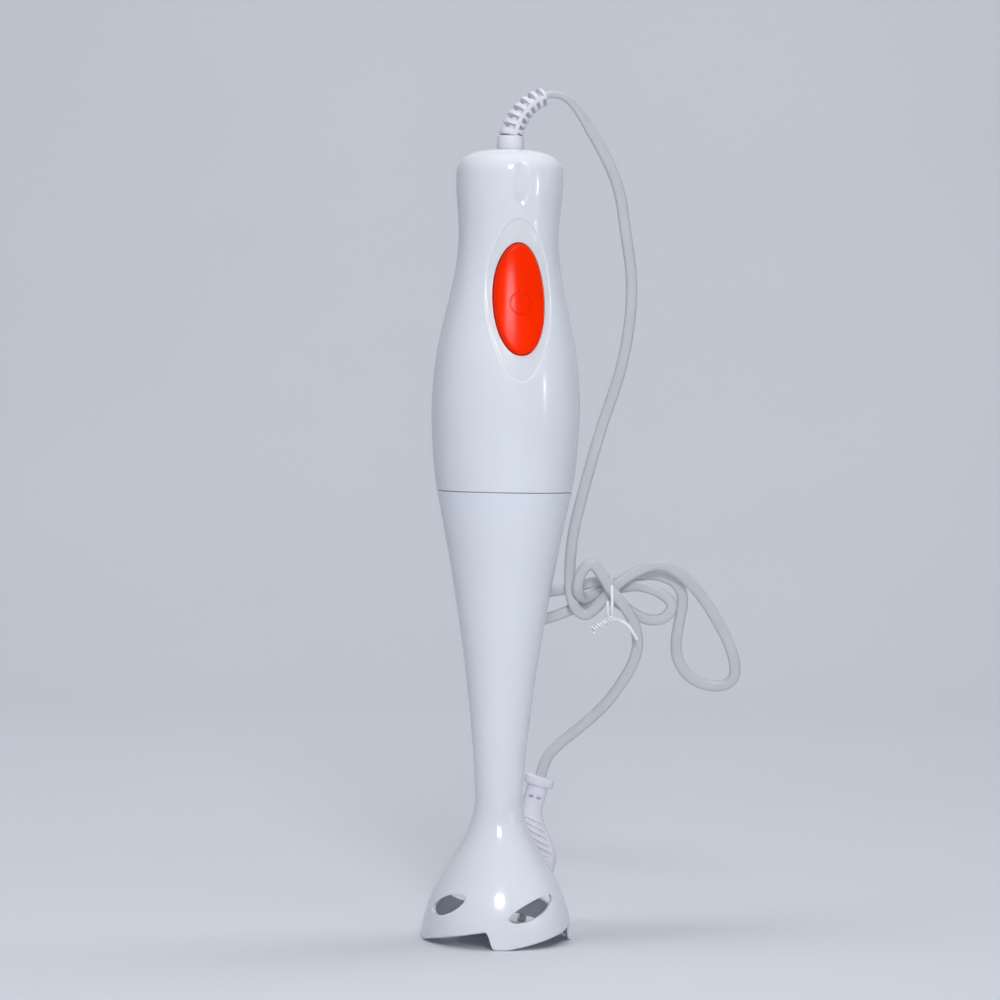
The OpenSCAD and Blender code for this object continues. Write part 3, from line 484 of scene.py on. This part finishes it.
def front_shell():
    """Rings from the button's opening out to the parting line, outside and then inside."""
    side, end = 150, 90
    half = math.pi / 2 - SEAM
    border = ([(half, PROFILE_LENGTH * k / side) for k in range(side)]
              + [(half * (1 - 2 * k / end), PROFILE_LENGTH) for k in range(end)]
              + [(-half, PROFILE_LENGTH * (1 - k / side)) for k in range(side)]
              + [(half * (2 * k / end - 1), 0.0) for k in range(end)])
    middle = reached(BUTTON_Z)
    up, down = PROFILE_LENGTH - middle, middle
    angles = [math.atan2((t - middle) / (up if t > middle else down), turn / half) for turn, t in border]

    def ring(outline, depth):
        points = []
        for a in angles:
            x, z = outline(a)
            points.append(front_point(x, z, depth))
        return points

    def between(share, skin):
        """Ring between the surround and the border, share of the way out."""
        points = []
        for a, (turn, t) in zip(angles, border):
            x, z = bezel(a, 0.9)
            turn0, t0 = math.asin(x / grip_at(z)), reached(z)
            here = turn0 + share * (turn - turn0), t0 + share * (t - t0)
            px, py, pz = grip_point(*here, skin)
            if not skin and py < 0 and pz > 315:
                px, py, pz = grip_point(*here, dimple(px, pz))
            points.append((px, py, pz))
        return points

    rows = [ring(lambda a: egg(a, BUTTON_GAP), d) for d in (SHELL, 1.2)]
    rows += [ring(lambda a, g=g: egg(a, BUTTON_GAP + g), BEZEL_DEEP + d)
             for g, d in ((0.03, 0.22), (0.12, 0.09), (0.28, 0.02), (0.45, 0.0))]
    for k in range(1, 9):
        pairs = [zip(egg(a, BUTTON_GAP + 0.45), bezel(a, -0.9)) for a in angles]
        rows.append([front_point(*[e + (b - e) * k / 9 for e, b in pair], BEZEL_DEEP) for pair in pairs])
    rows += [ring(lambda a, g=g: bezel(a, g), BEZEL_DEEP * d)
             for g, d in ((-0.9, 1.0), (-0.5, 0.97), (-0.2, 0.82), (0.0, 0.55), (0.2, 0.26), (0.5, 0.05),
                          (0.9, 0.0))]
    steps = 64
    rows += [between((k / steps) ** 1.25, 0.0) for k in range(1, steps)]
    edge = between(1.0, 0.0)
    rows += [between(0.997, 0.0), [tuple(0.9 * e + 0.1 * i for e, i in zip(a, b))
                                   for a, b in zip(edge, between(1.0, SHELL))]]
    rows += [between(1.0, SHELL)] + [between((k / 10) ** 1.25, SHELL) for k in range(9, 0, -1)]
    return [p for row in rows for p in row], strip(len(rows), len(border), wrap_rows=True)


def rear_shell():
    """Columns of the closed outline, outside and then inside, from seam to seam."""
    count, steps = 128, 150
    half = math.pi / 2 - SEAM
    points = []
    for k in range(count + 1):
        turn = half + SEAM * 2 + (2 * math.pi - 2 * half - 4 * SEAM) * k / count
        lip = 0.15 if k in (0, count) else 0.0
        outside = [grip_point(turn, PROFILE_LENGTH * i / steps, lip) for i in range(steps + 1)]
        inside = [grip_point(turn, PROFILE_LENGTH * i / 30, SHELL) for i in range(30, -1, -1)]
        points += outside + inside
    n = steps + 32
    faces = strip(count + 1, n)
    faces.append(tuple(range(n))[::-1])
    faces.append(tuple(count * n + k for k in range(n)))
    return points, faces


add_piece("front_shell", *front_shell(), "housing", "white_gloss", replaces=["housing_front"])
add_piece("rear_shell", *rear_shell(), "housing", "white_gloss", replaces=["housing_rear"])


# ---------------------------------------------------------------- button
MARK_Z = BUTTON_Z - 1.5                      # middle of the power symbol
MARK_R, MARK_LINE, MARK_DEEP = 4.6, 0.5, 0.5  # its radius, half its line's width and its depth
FIELD_R = 6.9                                # round field of fine rings that carries it
BUTTON_FILLET = 1.5
POST_Z, POST_END_Y = 296.3, -12.5            # presses the switch
SPRING_Z, SPRING_POST_END_Y = 286.3, -14.5   # holds the return spring


def power_mark(x, z):
    """Depth of the engraved power symbol: a ring open at the top, with a bar in the gap."""
    z = z - MARK_Z
    radius, turn = math.hypot(x, z), abs(math.atan2(x, z))
    open_top = smooth((turn - math.radians(24)) * radius / 0.3)
    ring = smooth((MARK_LINE - abs(radius - MARK_R)) / 0.3) * open_top
    bar = smooth((MARK_LINE - abs(x)) / 0.3) * smooth((2.9 - abs(z - 3.1)) / 0.3)
    return MARK_DEEP * max(ring, bar)


def clear_depth(z, depth):
    """Depth below the skin, kept clear of the motor's core when the button is pressed."""
    return min(depth, grip_at(z) - CORE_CLEAR_R) if z < CORE_TOP_Z else depth


def button_cap():
    """Rings from the power symbol out to the edge, round it and back under a rim that stays inside."""
    count = 256
    angles = [2 * math.pi * k / count for k in range(count)]
    rows = []
    for k in range(46):
        r = 0.3 + (FIELD_R - 0.3) * k / 45
        field = [(r * math.cos(a), MARK_Z + r * math.sin(a)) for a in angles]
        rows.append([front_point(x, z, power_mark(x, z) - BUTTON_PROUD) for x, z in field])
    for k in range(1, 15):
        rows.append([front_point(*[c + (e - c) * k / 14 for c, e in zip(c0, egg(a, -BUTTON_FILLET))],
                                 -BUTTON_PROUD) for a, c0 in zip(angles, field)])
    for k in range(1, 9):
        b = math.pi / 2 * k / 8
        inset, drop = BUTTON_FILLET * (1 - math.sin(b)), BUTTON_FILLET * (1 - math.cos(b))
        rows.append([front_point(*egg(a, -inset), -BUTTON_PROUD + drop) for a in angles])
    for grow, depth in ((0, 2.45), (1.15, 2.5), (1.15, 3.7), (-1.8, 3.75), (-1.8, 1.3)):
        rows.append([front_point(*egg(a, grow), clear_depth(egg(a, grow)[1], depth)) for a in angles])
    rows.append([front_point(0.3 * math.cos(a), BUTTON_Z + 0.3 * math.sin(a), 1.3) for a in angles])
    faces = strip(len(rows), count)
    faces.append(tuple(range(count)))
    faces.append(tuple((len(rows) - 1) * count + k for k in range(count))[::-1])
    return [p for row in rows for p in row], faces


def post(z, y_inner, r=2.0, count=32):
    """Round post along Y, from y_inner to just under the button's skin."""
    outline = [(r - 0.3, y_inner), (r, y_inner - 0.3), (r, -grip_at(z) + 1.2)]
    points = [(r * math.cos(a), y, z + r * math.sin(a)) for r, y in outline
              for a in (2 * math.pi * k / count for k in range(count))]
    faces = strip(len(outline), count)
    faces.append(tuple(range(count))[::-1])
    faces.append(tuple((len(outline) - 1) * count + k for k in range(count)))
    return points, faces


add_piece("button_cap", *join(button_cap(), post(POST_Z, POST_END_Y), post(SPRING_Z, SPRING_POST_END_Y)),
          "button", "button_red", replaces=["power_button"])


# ---------------------------------------------------------------- stem
def foot_edge(turn):
    """Height of the guard's lower edge at an angle from +X, in degrees."""
    d = (turn - FOOT_TURN - FOOT_ARC / 2) % 90
    if d < RAMP_ARC:
        return FOOT_RISE * d / RAMP_ARC
    if d < RAMP_ARC + DROP_ARC:
        return FOOT_RISE * (1 + math.cos(math.pi * (d - RAMP_ARC) / DROP_ARC)) / 2
    return 0.0


def stem_shape():
    count, skirt = 360, 30.0
    rim = STEM_WALL / 2
    boss_r, seal_r, bush_r, seat_r = 8.5, 6.55, 4.55, 25.45
    top = SPLIT_Z - 0.28
    above = [skirt + (STEM_H - 0.4 - skirt) * k / 90 for k in range(1, 91)]
    fixed = [(stem_at(z), z) for z in above] + [(MOUTH_R, top - 0.3), (MOUTH_R - 0.3, top)]
    fixed += [(seat_r + 0.3, top), (seat_r, top - 0.3), (seat_r, STEM_H - 12)]
    fixed += [(stem_at(z) - STEM_WALL, z) for z in (184 - 123 * k / 24 for k in range(25))]
    fixed += [(NECK_R - STEM_WALL, ROOF_Z + 3), (bush_r, ROOF_Z + 3), (bush_r, ROOF_Z - 12)]
    fixed += [(seal_r, ROOF_Z - 12), (seal_r, ROOF_Z - 17.7), (seal_r + 0.3, ROOF_Z - 18)]
    fixed += [(boss_r - 0.4, ROOF_Z - 18), (boss_r, ROOF_Z - 17.6), (boss_r, ROOF_Z - 6)]
    fixed += [(boss_r + 0.6, ROOF_Z - 4.4), (boss_r + 2, ROOF_Z - 4)]
    fixed += [(stem_at(z) - STEM_WALL, z) for z in (37 - 7 * k / 6 for k in range(7))]
    points = []
    for k in range(count):
        turn = 360.0 * k / count - 99
        edge = sum(foot_edge(turn + 0.4 * i) * (7 - abs(i)) for i in range(-6, 7)) / 49
        column = [(stem_at(z) - STEM_WALL, z)
                  for z in (skirt + (edge + rim - skirt) * i / 16 for i in range(1, 17))]
        mid_r = stem_at(edge + rim) - rim
        column += [(mid_r - rim * math.cos(b), edge + rim - rim * math.sin(b))
                   for b in (math.pi * i / 8 for i in range(1, 8))]
        column += [(stem_at(z), z) for z in (edge + rim + (skirt - edge - rim) * i / 24 for i in range(25))]
        a = math.radians(turn)
        points += [(r * math.cos(a), r * math.sin(a), z) for r, z in column + fixed]
    return points, strip(count, len(column) + len(fixed), wrap_rows=True)


def window_cutter(turn, half_l, half_h, z0, slope=20):
    """Leaf-shaped prism through the guard's wall, flatter above than below."""
    c, s, n = math.cos(math.radians(slope)), math.sin(math.radians(slope)), 64
    outline = []
    for k in range(n):
        a = 2 * math.pi * k / n
        x, y = half_l * math.cos(a), half_h * math.sin(a) * (0.8 if math.sin(a) > 0 else 1.15)
        outline.append((x * c - y * s, x * s + y * c))
    points = [(r, x, z0 + y) for r in (14, 44) for x, y in outline]
    faces = strip(2, n) + [tuple(range(n)), tuple(range(n, 2 * n))]
    return moved((points, faces), Matrix.Rotation(math.radians(turn), 4, "Z"))


def cut(piece, *parts):
    """Takes closed shapes away from a piece."""
    points, faces = join(*parts)
    tool = add_mesh("cutter", points, faces)
    modifier = piece.modifiers.new("cut", "BOOLEAN")
    modifier.operation, modifier.solver, modifier.object = "DIFFERENCE", "EXACT", tool
    bpy.context.view_layer.update()
    result = bpy.data.meshes.new_from_object(piece.evaluated_get(bpy.context.evaluated_depsgraph_get()))
    piece.modifiers.clear()
    piece.data = result
    result.shade_smooth()
    result.set_sharp_from_angle(angle=math.radians(35))
    bpy.data.objects.remove(tool)
    return piece


stem = add_piece("stem_body", *stem_shape(), "stem", "white_gloss",
                 replaces=["stem_tube", "blade_guard", "bearing_carrier"])
WINDOWS = ((-70, (12.6, 3.6, 17.3)), (-150, (9.8, 4.1, 18.2)))  # turn, (half length, half height, height)
cut(stem, *[window_cutter(turn + half_turn, *size) for half_turn in (0, 180) for turn, size in WINDOWS])


# ---------------------------------------------------------------- strain relief
RELIEF_RINGS = 7


def relief_skin(share, turn, left):
    """Radius of the sleeve: a taper with slots on both sides of a spine that runs front and back."""
    body = 5.25 - 1.1 * share
    pitch = 1 / (RELIEF_RINGS - 0.3)
    phase = ((share - 0.02 - (0.02 if left else 0.05)) / pitch) % 1.0
    slot = smooth((phase - 0.38) / 0.06) * smooth((0.95 - phase) / 0.06) if 0.03 < share < 0.96 else 0.0
    spine = smooth((abs(math.cos(turn)) - 0.22) / 0.10)
    return body - 2.3 * slot * spine


def relief_sleeve():
    steps, count = 260, 72
    path = [relief_at(RELIEF_ARC * k / steps)[0] for k in range(steps + 1)]

    def section(i, share):
        ends = 0.5 * smooth(1 - share * 60) + 0.9 * smooth((share - 0.97) / 0.03)
        ring = []
        for k in range(count):
            a = 2 * math.pi * k / count
            r = relief_skin(share, a, math.cos(a) < 0) - ends
            ring.append((r * math.cos(a), r * math.sin(a)))
        return ring

    sideways = RELIEF_TURNED @ Vector((0, 1, 0))
    return sweep(path, section, lambda share, along: sideways)


collar = lathe([(0.4, TOP_Z - 4.5), (7, TOP_Z - 4.5), (7, TOP_Z - 2.3), (4.45, TOP_Z - 2.2), (4.45, TOP_Z),
                (5.75, TOP_Z + 0.12), (5.95, TOP_Z + 0.4), (5.75, COLLAR_TOP - 0.6), (5.5, COLLAR_TOP - 0.1),
                (5.1, COLLAR_TOP + 0.05), (0.4, COLLAR_TOP + 0.1)], 96)
add_piece("relief_sleeve", *join(collar, relief_sleeve()), "housing", "soft_white", sharp=40,
          replaces=["strain_relief"])


# ---------------------------------------------------------------- plug
PLUG_L, PLUG_A, PLUG_B, FLANGE_L = 47.0, 17.6, 6.85, 4.6
SLOT_Z = -9.5
PIN_R, PIN_L, PIN_PITCH = 2.0, 19.0, 19.0


def blend_along(table, z):
    """Smooth value of a table of (z, value) at z."""
    for (z0, v0), (z1, v1) in zip(table, table[1:]):
        if z >= z1:
            return v0 + (v1 - v0) * smooth((z - z0) / (z1 - z0))
    return table[-1][1]


def plug_width(z):
    """Half width of the plug, z below its cord end."""
    return blend_along([(0, 4.7), (-13, 4.8), (-36, PLUG_A - 0.3), (-43, PLUG_A), (-PLUG_L, PLUG_A)], z)


def plug_depth(z):
    return blend_along([(0, 3.5), (-12, 3.6), (-31, PLUG_B - 0.2), (-PLUG_L, PLUG_B)], z)


def plug_shape():
    count, steps = 96, 240
    points = []
    rows = [(-0.2 - (PLUG_L - 0.3) * k / steps, 0.0) for k in range(steps + 1)]
    rows = [(0.0, 0.7)] + rows + [(-PLUG_L + 0.03, 0.35), (-PLUG_L, 0.9)]
    for z, inset in rows:
        a, b = plug_width(z) - inset, plug_depth(z) - inset
        flange = math.sqrt(max(0.0, 1 - ((z + FLANGE_L / 2) / (FLANGE_L / 2)) ** 4))
        a, b = a + flange * 2.1, b + flange * 0.9
        power = 2.0 + 1.6 * smooth((-z - 24) / 14)
        for k in range(count):
            t = 2 * math.pi * k / count
            c, s = math.cos(t), math.sin(t)
            x = a * math.copysign(abs(c) ** (2 / power), c)
            y = b * math.copysign(abs(s) ** (2 / power), s)
            grip = 0.0
            if -38 < z < -18:
                lane = ((-z - 18 - x * 0.22) / 2.4) % 1.0
                fade = smooth((-z - 19) / 0.8) * smooth((35 + z) / 2) * smooth((a * 0.86 - abs(x)) / 0.8)
                groove = 0.9 * smooth((lane - 0.45) / 0.12) * smooth((0.97 - lane) / 0.12)
                grip = groove * fade * smooth(abs(s) * 3)
            points.append((x, y - math.copysign(grip, s), z))
    n = len(rows)
    faces = strip(n, count)
    faces += [tuple(range(count)), tuple((n - 1) * count + k for k in range(count))[::-1]]
    return moved((points, faces), PLUG_PLACE)


def plug_pin(x, metal):
    """A pin: its bare tip and core, or the sleeve that covers the half near the plug."""
    if metal:
        end = -PLUG_L - PIN_L
        outline = [(0.05, end), (PIN_R - 0.75, end), (PIN_R - 0.25, end + 0.45), (PIN_R, end + 1.1),
                   (PIN_R, -PLUG_L - 10), (PIN_R - 0.2, -PLUG_L - 9.8),
                   (PIN_R - 0.2, -PLUG_L - 0.05), (0.05, -PLUG_L - 0.05)]
    else:
        outline = [(PIN_R - 0.15, -PLUG_L - 9.75), (PIN_R - 0.05, -PLUG_L - 9.75),
                   (PIN_R - 0.02, -PLUG_L - 9.6), (PIN_R - 0.02, -PLUG_L - 0.08),
                   (PIN_R - 0.15, -PLUG_L - 0.08)]
    return moved(lathe(outline, 48), PLUG_PLACE @ Matrix.Translation((x, 0, 0)))


def slot_cutter(x, side):
    """Small rounded slot in a broad face of the plug's neck."""
    outline = [(x + u, SLOT_Z + v) for u, v in ((-1.0, -0.4), (-0.7, -0.65), (0.7, -0.65), (1.0, -0.4),
                                                (1.0, 0.4), (0.7, 0.65), (-0.7, 0.65), (-1.0, 0.4))]
    points = [(u, side * y, v) for y in (1.3, 9.0) for u, v in outline]
    n = len(outline)
    return moved((points, strip(2, n) + [tuple(range(n)), tuple(range(n, 2 * n))]), PLUG_PLACE)


plug = add_piece("plug_moulding", *plug_shape(), "housing", "soft_white", sharp=50,
                 replaces=["plug_body"])
cut(plug, *[slot_cutter(x, side) for x in (-1.75, 1.75) for side in (-1, 1)])
pins = add_piece("plug_contacts", *join(*[plug_pin(s * PIN_PITCH / 2, True) for s in (-1, 1)]),
                 "housing", "pin_nickel", replaces=["plug_pins"])
sleeves = add_piece("plug_pin_sleeves", *join(*[plug_pin(s * PIN_PITCH / 2, False) for s in (-1, 1)]),
                    "housing", "soft_white")


# ---------------------------------------------------------------- wire tie
TIE_AT = Vector((55, 25.5, 147.5))
TIE_R, TIE_WIRE = 9.2, 0.75


def tie_shape():
    """A coated wire once and a half round the bundle, twisted in front, with a loose end."""
    turned = Matrix.Translation(TIE_AT) @ Matrix.Rotation(math.radians(-12), 4, "Z")
    loops = []
    for k in range(97):
        a = -2 * math.pi * 1.5 * k / 96 - math.pi / 2
        loops.append(turned @ Vector((-1.5 + 3.0 * k / 96, TIE_R * math.sin(a), TIE_R * math.cos(a))))
    ring = sweep(loops, lambda i, share: circle(TIE_WIRE, 12))
    twist = []
    start, end = Vector((1, -6, -TIE_R + 1.4)), Vector((-8, -8.5, -TIE_R - 3.8))
    along = (end - start).normalized()
    across = along.cross(Vector((0, 1, 0))).normalized()
    over = along.cross(across)
    for strand in (0, math.pi):
        turns = [strand + k * 0.42 for k in range(61)]
        path = [turned @ (start + (end - start) * (k / 60)
                          + across * 1.3 * math.cos(a) + over * 1.3 * math.sin(a))
                for k, a in enumerate(turns)]
        twist.append(sweep(path, lambda i, share: circle(TIE_WIRE * 0.75, 10)))
    loose = [Vector(p) for p in ((1, -6, -7.8), (4, -8, -8.8), (8, -8.6, -11), (12, -8.2, -17))]
    tail = spline([turned @ p for p in loose], 10)
    return join(ring, *twist, sweep(tail, lambda i, share: circle(TIE_WIRE, 12)))


tie = add_piece("cord_tie_wire", *tie_shape(), "housing", "tie_white", sharp=60,
                replaces=["cord_tie"])


# ---------------------------------------------------------------- return spring
def spring_shape():
    turns, coil_r, wire = 7.5, 2.9, 0.35
    front, back = -0.5, -16.2
    path = []
    for k in range(int(turns * 28) + 1):
        share = k / (turns * 28)
        squeeze = share + 0.035 * math.sin(2 * math.pi * share)
        a = 2 * math.pi * turns * share
        path.append(Vector((coil_r * math.cos(a), front + (back - front) * (share * 0.9 + squeeze * 0.1),
                            SPRING_Z + coil_r * math.sin(a))))
    return sweep(path, lambda i, share: circle(wire, 10))


spring = add_piece("return_spring", *spring_shape(), "housing", "steel", sharp=60,
                   replaces=["button_spring"])
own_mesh(spring)


# ---------------------------------------------------------------- floor, backdrop and light
BEND_START_m, BEND_R_m = 1.1, 0.9
WALL_m, WALL_TOP_m, FLOOR_FRONT_m = 2.0, 4.5, -3.0


def add_stage():
    """A pale floor that curves up into a backdrop behind the object."""
    bend = [(BEND_START_m + BEND_R_m * math.sin(a), BEND_R_m - BEND_R_m * math.cos(a))
            for a in (math.pi / 2 * k / 48 for k in range(49))]
    depth = [(FLOOR_FRONT_m, 0.0)] + bend + [(WALL_m, WALL_TOP_m)]
    place = Matrix.Rotation(CAMERA_TURN, 4, "Z")
    points = [tuple(place @ Vector((x, y, z))) for y, z in depth for x in (-5.0, 5.0)]
    mesh = bpy.data.meshes.new("backdrop")
    mesh.from_pydata(points, [], strip(len(depth), 2, wrap=False))
    mesh.shade_smooth()
    mesh.materials.append(finish("paper", (0.62, 0.645, 0.705), 0.75, tint=0.01, bump=0.02, mottle=3,
                                 grain=300))
    backdrop = bpy.data.objects.new("backdrop", mesh)
    bpy.context.collection.objects.link(backdrop)


def add_light(name, turn, out, height, size, power, aim=(0, 0, 0.17), mirrored=True):
    """A soft box out metres from the axis, turned about it from the camera's side, aimed at a point."""
    data = bpy.data.lights.new(name, "AREA")
    data.shape = "RECTANGLE"
    data.size, data.size_y = size
    data.energy = power
    lamp = bpy.data.objects.new(name, data)
    bpy.context.collection.objects.link(lamp)
    angle = CAMERA_TURN + math.radians(turn)
    lamp.location = (out * math.sin(angle), -out * math.cos(angle), height)
    lamp.visible_glossy = mirrored
    lamp.rotation_euler = (Vector(aim) - lamp.location).to_track_quat("-Z", "Y").to_euler()


add_stage()
add_light("box_front", 5, 1.8, 0.55, (0.3, 0.9), 4.2, mirrored=False)
add_light("fill_front", 0, 1.25, 0.22, (0.12, 0.12), 2.1, aim=(0, 0, 0.06), mirrored=False)
add_light("box_right", 62, 1.1, 0.34, (0.06, 0.16), 0.5)
add_light("box_top", 10, 1.0, 1.9, (1.5, 1.0), 2.5, mirrored=False)
add_light("spot_front", 5, 1.0, 0.80, (0.26, 0.18), 5.0, aim=(0, 0, 0.15))
add_light("backdrop_wash", 0, -0.2, 2.4, (3.0, 1.0), 50, aim=(-0.25, 1.6, 0.5), mirrored=False)
world = bpy.data.worlds.new("studio")
bpy.context.scene.world = world
world.use_nodes = True
world.node_tree.nodes["Background"].inputs["Color"].default_value = (0.80, 0.88, 1.0, 1)
world.node_tree.nodes["Background"].inputs["Strength"].default_value = 0.1
bpy.context.scene.view_settings.view_transform = "Standard"
